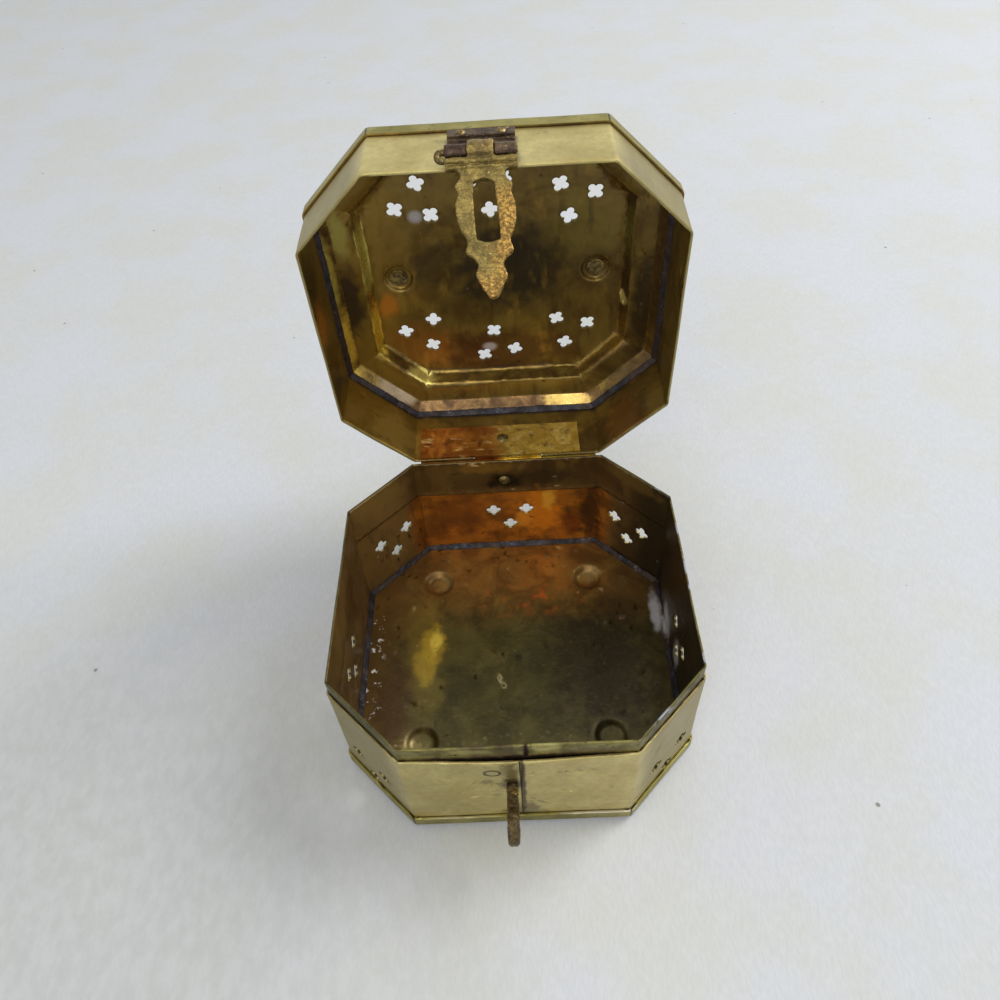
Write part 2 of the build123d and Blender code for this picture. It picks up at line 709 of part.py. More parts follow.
def make_handle():
    leg = post_x - handle_leg_inset
    end = post_x + handle_end_length
    corners = [(-end, 0), (-leg, 0), (-leg, handle_reach), (leg, handle_reach), (leg, 0), (end, 0)]
    radii = [handle_elbow_radius, handle_shoulder_radius, handle_shoulder_radius, handle_elbow_radius]
    line = FilletPolyline(*[(x, y, handle_axis_z) for x, y in corners], radius=radii)
    section = Plane(origin=line @ 0, z_dir=line % 0) * Circle(handle_wire_radius)
    handle = sweep(section, path=line)
    half = grip_length / 2
    swell = grip_radius - handle_wire_radius
    profile = Polyline((-half, 0), (-half, handle_wire_radius)) + ThreePointArc(
        (-half, handle_wire_radius), (0, handle_wire_radius + swell), (half, handle_wire_radius)) + Polyline(
        (half, handle_wire_radius), (half, 0), (-half, 0))
    grip = revolve(make_face(profile), Axis.X)
    handle += Pos(0, handle_reach, handle_axis_z) * grip
    for side in (-1, 1):
        start = side * end
        handle += rod(handle_button_radius, (start, 0, handle_axis_z),
                      (start + side * handle_button_length, 0, handle_axis_z))
    return handle


def write(name, shape):
    export_step(shape, os.path.join("parts", name + ".step"))


os.makedirs("parts", exist_ok=True)
write("bottom_plate", make_bottom_plate())
write("base_wall", make_base_wall())
write("rim_collar", make_rim_collar())
write("collar_rivet", make_collar_rivet())
write("base_solder", make_base_solder())
write("base_hinge_leaf", make_base_hinge_leaf())
write("base_leaf_rivet", make_base_leaf_rivet())
write("hinge_pin", make_hinge_pin())
write("lid_wall", opened(make_lid_wall()))
write("lid_top_plate", opened(make_lid_top_plate()))
write("lid_solder", opened(make_lid_solder()))
write("lid_hinge_leaf", opened(make_lid_hinge_leaf()))
write("lid_leaf_rivet", opened(make_lid_leaf_rivet()))
write("hasp_leaf", opened(make_hasp_leaf()))
write("hasp_leaf_rivets", opened(make_hasp_leaf_rivets()))
write("hasp_pin", make_hasp_pin())
write("hasp", make_hasp())
write("staple", make_staple())
write("staple_washer", make_staple_washer())
write("left_handle_post", opened(make_handle_post(-post_x)))
write("right_handle_post", opened(make_handle_post(post_x)))
write("handle_post_washers", opened(make_handle_post_washers()))
write("handle", opened(make_handle()))
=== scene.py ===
import bmesh
import bpy
import json
from math import cos, radians, sin
from mathutils import Matrix, Vector, noise

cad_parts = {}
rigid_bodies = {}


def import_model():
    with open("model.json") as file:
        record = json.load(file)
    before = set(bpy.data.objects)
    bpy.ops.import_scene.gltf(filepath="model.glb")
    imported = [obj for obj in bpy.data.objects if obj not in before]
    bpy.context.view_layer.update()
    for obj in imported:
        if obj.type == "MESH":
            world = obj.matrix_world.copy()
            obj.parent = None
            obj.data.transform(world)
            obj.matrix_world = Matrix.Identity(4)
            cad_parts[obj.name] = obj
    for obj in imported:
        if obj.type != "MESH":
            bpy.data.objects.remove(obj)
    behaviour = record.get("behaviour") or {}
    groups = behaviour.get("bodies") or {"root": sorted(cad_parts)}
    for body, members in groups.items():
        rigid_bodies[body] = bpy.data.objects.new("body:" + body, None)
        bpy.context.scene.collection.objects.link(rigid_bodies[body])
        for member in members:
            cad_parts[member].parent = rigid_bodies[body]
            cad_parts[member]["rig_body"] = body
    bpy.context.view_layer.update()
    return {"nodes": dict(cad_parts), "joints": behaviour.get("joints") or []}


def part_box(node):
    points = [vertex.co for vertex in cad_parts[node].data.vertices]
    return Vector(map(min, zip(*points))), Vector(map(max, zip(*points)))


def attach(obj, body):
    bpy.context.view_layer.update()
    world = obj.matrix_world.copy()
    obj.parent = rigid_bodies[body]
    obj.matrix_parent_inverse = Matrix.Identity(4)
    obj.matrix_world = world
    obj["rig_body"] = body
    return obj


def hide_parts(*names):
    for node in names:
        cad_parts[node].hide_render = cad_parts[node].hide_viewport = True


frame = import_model()

# Lengths are in metres; sizes of marks on the metal are in millimetres.
mm = 0.001

# The waves of hand-bent sheet are drawn from this seed, so that every run gives the same ones
wave_seed = 1
noise.seed_set(wave_seed)

# Camera, set at the photograph's place above and in front of the box
camera_place = Vector((3.897, -150.969, 260.665)) * mm
camera_down = radians(48.552)
camera_turn = radians(-2.056)
camera_roll = radians(-4.34)
camera_lens = 29.446
camera_sensor = 36.0

# The lid's hinge, from the frame
hinge = next(j for j in frame["joints"] if j["name"] == "lid_hinge")
hinge_place = Vector(hinge["pos_m"])
lid_turn = radians(hinge["range_deg"][1])
close_lid = Matrix.Translation(hinge_place) @ Matrix.Rotation(lid_turn, 4, "X") @ Matrix.Translation(-hinge_place)

# Measures of the base, from the frame; its corners are cut off by the same length along both sides
corner_cut = 22.3 * mm
floor_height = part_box("bottom_plate")[0].z
wall_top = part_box("base_wall")[1].z
half_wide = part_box("base_wall")[1].x
half_deep = -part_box("base_wall")[0].y
cut_sum = half_wide + half_deep - corner_cut

# The height of the hasp's pin, in millimetres: it lies about that far below the hasp's top
pin_below_top = 2.6
hasp_pin_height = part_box("hasp")[1].z / mm - pin_below_top

# Light: two lamps, and the world's level as light and as a backdrop
lamp_target = (0, 0, 0.05)
lamp_size = 0.9
window_place = (1.1, 0.5, 1.3)
window_power = 16.5
fill_place = (-0.2, -0.9, 0.9)
fill_power = 4.0
world_light = 0.63
world_shown = 0.9
ground_reach = 3

# How metallic clean and tarnished brass are: tarnish scatters more of the light
clean = 0.85
tarnished = 0.55

# How far the front wall and the collar behind it have sagged outwards at the top
front_edge = 53 * mm
wall_sag = 1.0 * mm
collar_sag = 0.4 * mm
collar_rise = 6.3 * mm
sag_centre = 1 * mm
sag_full = 4 * mm
sag_end = 34 * mm
sag_depth = 16 * mm

# Hand-worked sheet: its waves, which fade out near the hinge, and its triangles
wave_depth = 0.22 * mm
wave_length = 24 * mm
hinge_quiet = 9 * mm
sheet_grain = 2.6 * mm
lid_grain = 1.8 * mm
rivet_grain = 1.0 * mm
bead_grain = 0.9 * mm

# The lid plate's stepped border, from its outer edge inwards, and the number of times it is smoothed
border_start = -4.5 * mm
border_end = -21 * mm
fold_turns = 8

# Material numbers of the lid's plate
lid_outside, lid_flange, lid_flat, lid_slope, lid_raw = range(5)

# Solder beads, and the gap at the hinge's outer knuckles that is closed
bead_swell = 0.22 * mm
bead_feature = 4 * mm
inner_knuckle_end = 12.5 * mm
knuckle_reach = 0.22 * mm


# Camera, floor and light

def make_camera():
    forward = Vector((sin(camera_turn) * cos(camera_down), cos(camera_turn) * cos(camera_down), -sin(camera_down)))
    level = Vector((cos(camera_turn), -sin(camera_turn), 0))
    above = level.cross(forward)
    right = cos(camera_roll) * level + sin(camera_roll) * above
    up = cos(camera_roll) * above - sin(camera_roll) * level
    data = bpy.data.cameras.new("photo_camera")
    data.lens = camera_lens
    data.sensor_width = camera_sensor
    data.clip_start = 0.01
    camera = bpy.data.objects.new("photo_camera", data)
    camera.matrix_world = Matrix.Translation(camera_place) @ Matrix((right, up, -forward)).transposed().to_4x4()
    bpy.context.scene.collection.objects.link(camera)
    bpy.context.scene.camera = camera


def make_area_light(name, place, target, size, power):
    data = bpy.data.lights.new(name, "AREA")
    data.shape = "DISK"
    data.size = size
    data.energy = power
    light = bpy.data.objects.new(name, data)
    light.location = place
    light.rotation_euler = (Vector(place) - Vector(target)).to_track_quat("Z", "Y").to_euler()
    bpy.context.scene.collection.objects.link(light)


def make_world(light_level, shown_level):
    """Even light from all round, and a paler backdrop for the camera and for reflections in the metal."""
    world = bpy.data.worlds.new("studio")
    world.use_nodes = True
    nodes = world.node_tree.nodes
    links = world.node_tree.links
    background = nodes["Background"]
    background.inputs["Color"].default_value = (0.97, 0.985, 1.0, 1)
    path = nodes.new("ShaderNodeLightPath")
    seen = nodes.new("ShaderNodeMath")
    seen.operation = "MAXIMUM"
    level = nodes.new("ShaderNodeMapRange")
    level.inputs["To Min"].default_value = light_level
    level.inputs["To Max"].default_value = shown_level
    links.new(path.outputs["Is Camera Ray"], seen.inputs[0])
    links.new(path.outputs["Is Glossy Ray"], seen.inputs[1])
    links.new(seen.outputs[0], level.inputs["Value"])
    links.new(level.outputs["Result"], background.inputs["Strength"])
    bpy.context.scene.world = world


# Finishes

def shade(red, green, blue):
    """A colour written in screen values from 0 to 255, as the linear numbers that Blender wants."""
    linear = []
    for value in (red, green, blue):
        part = value / 255
        linear.append(part / 12.92 if part <= 0.04045 else ((part + 0.055) / 1.055) ** 2.4)
    return (*linear, 1)


class Finish:
    """A metal finish under construction. Marks are sized in millimetres and stay with the piece as it moves."""

    def __init__(self, name):
        self.material = bpy.data.materials.new(name)
        self.material.use_nodes = True
        self.tree = self.material.node_tree
        self.shader = self.tree.nodes["Principled BSDF"]
        texture = self.add("ShaderNodeTexCoord")
        scaled = self.add("ShaderNodeVectorMath", operation="SCALE")
        self.join(texture.outputs["Object"], scaled.inputs[0])
        scaled.inputs["Scale"].default_value = 1 / mm
        self.place = scaled.outputs[0]
        split = self.add("ShaderNodeSeparateXYZ")
        self.join(self.place, split.inputs[0])
        self.x, self.y, self.z = split.outputs
        self.height = None

    def add(self, kind, **settings):
        node = self.tree.nodes.new(kind)
        for key, value in settings.items():
            setattr(node, key, value)
        return node

    def join(self, source, target):
        """Links a socket to another, or sets a plain number or colour on it."""
        if isinstance(source, (int, float, tuple)):
            target.default_value = source
        else:
            self.tree.links.new(source, target)

    def sum(self, operation, *values):
        node = self.add("ShaderNodeMath", operation=operation)
        for value, socket in zip(values, node.inputs):
            self.join(value, socket)
        return node.outputs[0]

    def noise(self, feature, detail=3.0, roughness=0.55, distortion=0.0, stretch=(1, 1, 1), shift=0.0):
        """Soft random values round 0.5, with features of about that size."""
        mapping = self.add("ShaderNodeMapping")
        self.join(self.place, mapping.inputs["Vector"])
        mapping.inputs["Scale"].default_value = [1 / (feature * s) for s in stretch]
        mapping.inputs["Location"].default_value = (shift, shift * 1.7, shift * 2.3)
        texture = self.add("ShaderNodeTexNoise")
        texture.inputs["Scale"].default_value = 1.0
        texture.inputs["Detail"].default_value = detail
        texture.inputs["Roughness"].default_value = roughness
        texture.inputs["Distortion"].default_value = distortion
        self.join(mapping.outputs[0], texture.inputs["Vector"])
        return texture.outputs[0]

    def cells(self, feature, randomness=1.0, shift=0.0):
        """Distance to the nearest of scattered points, for specks and pits."""
        mapping = self.add("ShaderNodeMapping")
        self.join(self.place, mapping.inputs["Vector"])
        mapping.inputs["Scale"].default_value = (1 / feature,) * 3
        mapping.inputs["Location"].default_value = (shift,) * 3
        texture = self.add("ShaderNodeTexVoronoi")
        texture.inputs["Scale"].default_value = 1.0
        texture.inputs["Randomness"].default_value = randomness
        self.join(mapping.outputs[0], texture.inputs["Vector"])
        return texture.outputs["Distance"]

    def gate(self, value, low, high):
        """Rises smoothly from 0 at low to 1 at high; low may be above high."""
        node = self.add("ShaderNodeMapRange", interpolation_type="SMOOTHSTEP")
        self.join(value, node.inputs["Value"])
        node.inputs["From Min"].default_value = low
        node.inputs["From Max"].default_value = high
        return node.outputs[0]

    def spread(self, value, low, high):
        """Maps 0..1 to low..high."""
        node = self.add("ShaderNodeMapRange")
        self.join(value, node.inputs["Value"])
        node.inputs["To Min"].default_value = low
        node.inputs["To Max"].default_value = high
        return node.outputs[0]

    def blob(self, centre, radii, ragged=0.35, feature=6.0, shift=0.0):
        """1 inside a ragged patch round a point, falling to 0 at its edge; all in millimetres."""
        away = self.add("ShaderNodeVectorMath", operation="SUBTRACT")
        self.join(self.place, away.inputs[0])
        away.inputs[1].default_value = centre
        scaled = self.add("ShaderNodeVectorMath", operation="DIVIDE")
        self.join(away.outputs[0], scaled.inputs[0])
        scaled.inputs[1].default_value = radii
        length = self.add("ShaderNodeVectorMath", operation="LENGTH")
        self.join(scaled.outputs[0], length.inputs[0])
        uneven = self.sum("MULTIPLY", self.sum("SUBTRACT", self.noise(feature, shift=shift), 0.5), 2 * ragged)
        return self.gate(self.sum("ADD", length.outputs["Value"], uneven), 1.15, 0.45)

    def ring(self, centre, radius, width):
        """1 on a ragged ring drawn on a wall that faces front or back."""
        away = self.add("ShaderNodeVectorMath", operation="SUBTRACT")
        self.join(self.place, away.inputs[0])
        away.inputs[1].default_value = centre
        flat = self.add("ShaderNodeVectorMath", operation="MULTIPLY")
        self.join(away.outputs[0], flat.inputs[0])
        flat.inputs[1].default_value = (1, 0, 1)
        length = self.add("ShaderNodeVectorMath", operation="LENGTH")
        self.join(flat.outputs[0], length.inputs[0])
        off = self.sum("ABSOLUTE", self.sum("SUBTRACT", length.outputs["Value"], radius))
        uneven = self.sum("MULTIPLY", self.sum("SUBTRACT", self.noise(1.2), 0.5), width)
        return self.gate(self.sum("ADD", off, uneven), width, width * 0.3)

    def mix(self, share, first, second):
        node = self.add("ShaderNodeMix", data_type="RGBA")
        self.join(share, node.inputs["Factor"])
        self.join(first, node.inputs["A"])
        self.join(second, node.inputs["B"])
        return node.outputs["Result"]

    def crevice(self, reach):
        """1 deep in corners and joints, 0 on open faces, from ambient occlusion; the finishes use it to paint
        shade there.
        """
        node = self.add("ShaderNodeAmbientOcclusion", samples=6)
        node.inputs["Distance"].default_value = reach * mm
        return self.sum("SUBTRACT", 1.0, node.outputs["AO"])

    def soften(self, reach):
        """Rounds the look of bends and edges over that many millimetres."""
        node = self.add("ShaderNodeBevel", samples=4)
        node.inputs["Radius"].default_value = reach * mm
        self.height = node.outputs[0]

    def relief(self, height, strength, depth):
        """Adds a height in 0..1 as fine relief, depth in millimetres."""
        node = self.add("ShaderNodeBump")
        node.inputs["Strength"].default_value = strength
        node.inputs["Distance"].default_value = depth * mm
        self.join(height, node.inputs["Height"])
        if self.height is not None:
            self.join(self.height, node.inputs["Normal"])
        self.height = node.outputs[0]

    def paint(self, share, strength, colour, over):
        """Lays a colour over another where share is high."""
        return self.mix(self.sum("MULTIPLY", share, strength), over, colour)

    def patches(self, colour, rows, ragged=0.4, feature=5.0):
        """Lays patches over a colour, stains and wear and in places painted highlights and shade: each has its
        middle, its reach, a strength and a paint.
        """
        for number, (centre, radii, strength, paint) in enumerate(rows):
            share = self.blob(centre, radii, ragged=ragged, feature=feature, shift=number * 3.1)
            colour = self.paint(share, strength, paint, colour)
        return colour

    def spill(self):
        """1 on the grey smears of solder along the joint at the right of the base."""
        share = self.blob((52.6, 19, 1), (2.4, 10, 4), 0.5, 3.0)
        for centre, radii in (((55.3, 12, 6), (2.5, 7, 7)), ((55.4, -5, 11), (2.5, 4.5, 8))):
            share = self.sum("MAXIMUM", share, self.blob(centre, radii, 0.5, 3.0, centre[1]))
        return share

    def done(self, colour, roughness, metallic=1.0):
        self.join(colour, self.shader.inputs["Base Color"])
        self.join(roughness, self.shader.inputs["Roughness"])
        self.join(metallic, self.shader.inputs["Metallic"])
        if self.height is not None:
            self.join(self.height, self.shader.inputs["Normal"])
        return self.material


def outer_brass():
    """Pale polished brass outside the box, hazed and scratched, with painted shade in its joints, on its sides and
    round the staple's root.
    """
    f = Finish("outer_brass")
    f.soften(0.5)
    clouds = f.gate(f.noise(18, detail=5, distortion=0.6), 0.32, 0.7)
    colour = f.mix(clouds, shade(184, 168, 106), shade(208, 194, 130))
    blush = f.gate(f.noise(9, detail=4, shift=13), 0.5, 0.72)
    colour = f.paint(blush, 0.35, shade(196, 168, 112), colour)
    # Painted shade: the sides and corners darker than the front.
    beside = f.gate(f.sum("ABSOLUTE", f.x), 33, 40)
    colour = f.paint(beside, 0.7, shade(134, 122, 78), colour)
    mottle = f.gate(f.noise(2.4, detail=5, roughness=0.7, shift=17), 0.42, 0.62)
    colour = f.paint(mottle, 0.22, shade(140, 124, 74), colour)
    stains = f.gate(f.noise(5, detail=6, roughness=0.65, shift=3), 0.58, 0.76)
    colour = f.paint(stains, 0.45, shade(118, 102, 64), colour)
    scratches = f.gate(f.noise(0.9, detail=2, stretch=(16, 16, 0.5), shift=9), 0.6, 0.72)
    colour = f.paint(scratches, 0.12, shade(226, 214, 166), colour)
    colour = f.patches(colour, [
        ((-2.6, -56, 37), (3.4, 4, 8), 0.5, shade(116, 104, 60)),
        # Painted shade round the staple's root.
        ((-2.2, -56, 27.2), (4.6, 4, 4.6), 0.8, shade(78, 58, 36)),
        ((-9.4, -56, 29), (2.2, 3, 1.8), 0.5, shade(104, 88, 56)),
        ((1.0, -56, 30), (0.9, 4, 30), 0.85, shade(78, 56, 54)),
        ((1.8, -56, 8), (4.6, 4, 6), 0.65, shade(104, 84, 70)),
        ((2.6, -56, 5.5), (5.5, 4, 2.2), 0.6, shade(168, 160, 142)),
    ], ragged=0.6, feature=2.5)
    around = f.sum("MULTIPLY", f.ring((-7.6, 0, 36), 2.2, 0.8), f.gate(f.y, -48, -52))
    colour = f.paint(around, 0.9, shade(74, 62, 34), colour)
    # Painted shade: ambient occlusion darkens the corners and joints.
    crevice_shade = f.gate(f.crevice(2.4), 0.2, 0.6)
    colour = f.mix(crevice_shade, colour, shade(66, 48, 38))
    f.relief(f.noise(16, detail=2), 0.25, 0.9)
    f.relief(mottle, 0.12, 0.06)
    f.relief(scratches, 0.15, 0.05)
    rough = f.spread(f.noise(9, detail=5, shift=5), 0.28, 0.5)
    return f.done(colour, rough, clean)


def pierced_edge():
    """The dark raw edges of the pierced holes and of the sheets' seams."""
    f = Finish("pierced_edge")
    clouds = f.gate(f.noise(1.5, detail=4), 0.4, 0.64)
    colour = f.mix(clouds, shade(72, 60, 34), shade(108, 92, 54))
    f.relief(f.noise(0.6, detail=3), 0.4, 0.1)
    return f.done(colour, f.spread(clouds, 0.6, 0.45), 0.5)


def flange_brass():
    """The olive turned edges of the top and bottom plates, with dark lines where they are mitred."""
    f = Finish("flange_brass")
    f.soften(0.3)
    clouds = f.gate(f.noise(9, detail=5), 0.35, 0.68)
    colour = f.mix(clouds, shade(132, 123, 62), shade(160, 150, 82))
    spots = f.gate(f.noise(2.2, detail=4, roughness=0.7, shift=4), 0.56, 0.7)
    colour = f.paint(spots, 0.6, shade(84, 74, 34), colour)
    colour = f.patches(colour, [
        ((26, -57, 4.4), (16, 4, 0.9), 0.9, shade(206, 200, 184)),
        ((-20, -57, 4.4), (13, 4, 0.6), 0.6, shade(190, 184, 160)),
    ], feature=2.0)
    corner = f.sum("ABSOLUTE", f.sum("SUBTRACT", f.sum("ABSOLUTE", f.x), 34))
    colour = f.paint(f.gate(corner, 0.4, 0.15), 0.9, shade(40, 30, 20), colour)
    # Painted shade: ambient occlusion darkens the corners and joints.
    crevice_shade = f.gate(f.crevice(1.5), 0.2, 0.7)
    colour = f.mix(crevice_shade, colour, shade(44, 32, 26))
    f.relief(f.noise(3, detail=4), 0.3, 0.2)
    return f.done(colour, f.spread(clouds, 0.45, 0.34), clean)


def collar_brass():
    """Mottled green-brown brass of the rim that the lid covers."""
    f = Finish("collar_brass")
    f.soften(0.4)
    clouds = f.gate(f.noise(7, detail=6, roughness=0.62, distortion=0.5), 0.36, 0.66)
    colour = f.mix(clouds, shade(98, 90, 48), shade(140, 131, 76))
    violet = f.gate(f.noise(10, detail=5, shift=7), 0.5, 0.66)
    colour = f.paint(violet, 0.6, shade(84, 68, 60), colour)
    spots = f.gate(f.noise(2.2, detail=5, roughness=0.7, shift=2), 0.56, 0.68)
    colour = f.paint(spots, 0.7, shade(52, 42, 28), colour)
    # Painted shade: the sides and corners darker than the front.
    beside = f.gate(f.sum("ABSOLUTE", f.x), 31, 40)
    colour = f.paint(beside, 0.6, shade(72, 68, 44), colour)
    # Painted reflection: pale blue-grey over the collar's right-hand corner.
    pale = f.gate(f.noise(5, detail=5, shift=21), 0.54, 0.66)
    right = f.gate(f.x, 30, 42)
    colour = f.paint(f.sum("MULTIPLY", pale, right), 0.8, shade(160, 164, 176), colour)
    colour = f.patches(colour, [
        ((2.3, -55, 47), (0.9, 4, 6), 0.9, shade(54, 36, 36)),
        ((-4, -56, 44.6), (30, 4, 1.3), 0.85, shade(60, 38, 42)),
        ((20, -55, 46), (9, 4, 2), 0.5, shade(88, 66, 60)),
        ((8, -55, 49), (5, 4, 2), 0.6, shade(190, 180, 116)),
        ((-14, -55, 48), (8, 4, 1.5), 0.5, shade(172, 160, 96)),
    ], ragged=0.6, feature=2.5)
    # Painted shade: ambient occlusion darkens the corners and joints.
    crevice_shade = f.gate(f.crevice(2.0), 0.3, 0.8)
    colour = f.paint(crevice_shade, 0.8, shade(50, 34, 36), colour)
    f.relief(f.noise(4, detail=4), 0.4, 0.3)
    return f.done(colour, f.spread(clouds, 0.5, 0.34), clean)


def inner_brass():
    """Brown heat and age tarnish inside the base, orange on the back wall."""
    f = Finish("inner_brass")
    f.soften(0.5)
    clouds = f.gate(f.noise(17, detail=6, distortion=0.8), 0.34, 0.68)
    colour = f.mix(clouds, shade(96, 72, 38), shade(140, 110, 62))
    # Painted light: the back of the left wall and the back-left corner lighter, where the light from the right
    # falls on them.
    left = f.gate(f.x, -30, -44)
    far = f.gate(f.y, 20, 40)
    colour = f.paint(f.sum("MULTIPLY", left, far), 0.6, shade(158, 128, 74), colour)
    back = f.gate(f.y, 48, 53)
    low = f.gate(f.sum("ADD", f.z, f.sum("MULTIPLY", f.noise(9, shift=17), 3)), 35, 33)
    orange = f.gate(f.noise(13, detail=5, shift=11, stretch=(1, 1, 0.6)), 0.38, 0.62)
    rust = f.mix(orange, shade(142, 84, 26), shade(200, 122, 34))
    colour = f.paint(f.sum("MULTIPLY", back, low), 0.9, rust, colour)
    high = f.gate(f.z, 33, 37)
    colour = f.paint(f.sum("MULTIPLY", back, high), 0.6, shade(84, 58, 26), colour)
    streaks = f.gate(f.noise(4, detail=5, stretch=(1, 1, 3.5), shift=6), 0.54, 0.72)
    colour = f.paint(streaks, 0.5, shade(62, 44, 26), colour)
    gleams = f.gate(f.noise(5, detail=4, stretch=(1, 1, 2.5), shift=26), 0.56, 0.76)
    colour = f.paint(gleams, 0.25, shade(190, 146, 66), colour)
    # Painted shade: the right wall darker, as it faces away from the light.
    right = f.gate(f.sum("ADD", f.x, f.sum("MULTIPLY", f.noise(12, shift=19), 8)), 40, 54)
    colour = f.paint(right, 0.85, shade(36, 34, 26), colour)
    colour = f.patches(colour, [
        ((11, 55, 20), (9, 5, 16), 0.8, shade(244, 150, 36)),
        ((15, 55, 28), (3, 5, 8), 0.8, shade(255, 196, 70)),
        ((5, 55, 16), (4, 5, 5), 0.6, shade(255, 176, 60)),
        ((-20, 55, 20), (14, 5, 13), 0.65, shade(112, 62, 28)),
        ((31, 55, 20), (6, 5, 17), 0.85, shade(66, 38, 22)),
        ((24, 55, 12), (4, 5, 6), 0.6, shade(120, 44, 20)),
        ((-1.2, 54, 40), (8, 5, 4.4), 0.95, shade(26, 18, 12)),
        ((-8, 54, 47), (14, 5, 3), 0.5, shade(170, 124, 44)),
        ((14, 54, 41), (14, 5, 5), 0.6, shade(54, 40, 24)),
        ((44, 44, 47), (14, 14, 4), 0.55, shade(132, 108, 52)),
        ((-44, 44, 45), (14, 14, 5), 0.5, shade(150, 126, 62)),
    ], ragged=0.7, feature=3.5)
    smear = f.spill()
    colour = f.paint(smear, 0.85, shade(205, 204, 204), colour)
    # Painted shade: ambient occlusion darkens the corners and joints.
    crevice_shade = f.gate(f.crevice(3), 0.25, 0.85)
    colour = f.paint(crevice_shade, 0.6, shade(38, 30, 24), colour)
    f.relief(f.noise(12, detail=3), 0.35, 0.8)
    f.relief(f.noise(1.5, detail=4, shift=12), 0.1, 0.1)
    rough = f.spread(f.noise(8, detail=5, shift=4), 0.2, 0.44)
    return f.done(colour, rough, f.spread(smear, tarnished, 0.2))


def floor_brass():
    """The bottom plate's inside: olive in the middle, brown behind, with a painted yellow highlight at the left
    and painted shade at the right front.
    """
    f = Finish("floor_brass")
    f.soften(1.2)
    clouds = f.gate(f.noise(13, detail=7, roughness=0.62, distortion=0.6), 0.34, 0.68)
    colour = f.mix(clouds, shade(68, 61, 29), shade(98, 88, 44))
    behind = f.gate(f.sum("ADD", f.y, f.sum("MULTIPLY", f.noise(16, shift=3), 22)), 22, 46)
    colour = f.paint(behind, 0.9, f.mix(clouds, shade(112, 80, 36), shade(162, 122, 56)), colour)
    left = f.gate(f.sum("ADD", f.x, f.sum("MULTIPLY", f.noise(13, shift=23), 16)), -22, -42)
    colour = f.paint(left, 0.7, shade(112, 80, 38), colour)
    colour = f.patches(colour, [
        # Painted shadow of the right wall on the floor's right front.
        ((30, -2, 0), (22, 28, 20), 0.85, shade(54, 44, 26)),
        ((42, 26, 0), (12, 16, 20), 0.6, shade(84, 58, 28)),
        # The next five rows paint a yellow highlight and its paler fringe on the left of the floor.
        ((-34, 12, 0), (8, 20, 20), 0.5, shade(150, 124, 48)),
        ((-32, -10, 0), (7, 12, 20), 0.5, shade(128, 110, 48)),
        ((-30.5, 9, 0), (5.5, 9, 20), 0.75, shade(214, 176, 56)),
        ((-29.5, 10, 0), (2.6, 5, 20), 0.7, shade(255, 224, 90)),
        ((-33, 0, 0), (5, 9, 20), 0.6, shade(196, 164, 56)),
        ((0.9, 1.8, 0), (2.0, 1.8, 20), 0.8, shade(36, 32, 14)),
        ((-44, -14, 0), (8, 18, 20), 0.5, shade(66, 44, 28)),
        ((6, -6, 0), (10, 16, 20), 0.4, shade(62, 60, 34)),
    ], ragged=0.6, feature=4.0)
    # Painted reflection of the orange back wall, in spots on the floor behind its middle.
    glow = f.gate(f.noise(4.2, detail=6, roughness=0.6, shift=37), 0.5, 0.7)
    band = f.sum("MULTIPLY", f.gate(f.y, 18, 25), f.gate(f.y, 38, 28))
    middle = f.gate(f.sum("ABSOLUTE", f.sum("SUBTRACT", f.x, 6)), 26, 12)
    painted_reflection = f.sum("MULTIPLY", glow, f.sum("MULTIPLY", band, middle))
    colour = f.paint(painted_reflection, 0.75, shade(208, 104, 36), colour)
    scuffs = f.gate(f.noise(1.1, detail=6, roughness=0.75, stretch=(1.6, 1, 1), shift=41), 0.52, 0.72)
    colour = f.paint(scuffs, 0.28, shade(150, 132, 76), colour)
    # Painted highlights on three of the pressed feet.
    left_foot = f.blob((-27, 37, 0), (5, 4, 20), 0.7, 2.0, 2.0)
    right_foot = f.blob((30, 38, 0), (5, 3, 20), 0.7, 2.0, 6.0)
    pale = f.sum("MAXIMUM", left_foot, right_foot)
    pale = f.sum("MAXIMUM", pale, f.blob((-36, -31, 0), (5, 4, 20), 0.8, 1.6, 9.0))
    colour = f.paint(pale, 0.35, shade(190, 172, 110), colour)
    flecks = f.gate(f.noise(2.4, detail=3, roughness=0.6, shift=31), 0.6, 0.63)
    joint = f.gate(f.sum("ABSOLUTE", f.sum("ADD", f.x, 52)), 5, 1)
    here = f.gate(f.sum("ABSOLUTE", f.sum("SUBTRACT", f.y, 2)), 24, 16)
    white = f.sum("MULTIPLY", flecks, f.sum("MULTIPLY", joint, here))
    colour = f.paint(white, 1.0, shade(236, 234, 228), colour)
    smear = f.spill()
    colour = f.paint(smear, 0.85, shade(205, 204, 204), colour)
    white = f.sum("MAXIMUM", white, smear)
    grime = f.gate(f.noise(1.2, detail=4, roughness=0.7, shift=5), 0.58, 0.72)
    colour = f.paint(grime, 0.45, shade(48, 40, 22), colour)
    # Painted shade: ambient occlusion darkens the corners and joints.
    crevice_shade = f.gate(f.crevice(4), 0.25, 0.85)
    colour = f.paint(crevice_shade, 0.5, shade(38, 32, 24), colour)
    f.relief(f.noise(11, detail=3), 0.3, 0.8)
    f.relief(f.noise(0.9, detail=4), 0.16, 0.08)
    rough = f.spread(f.noise(7, detail=5, shift=6), 0.24, 0.46)
    return f.done(colour, rough, f.spread(white, tarnished, 0.2))


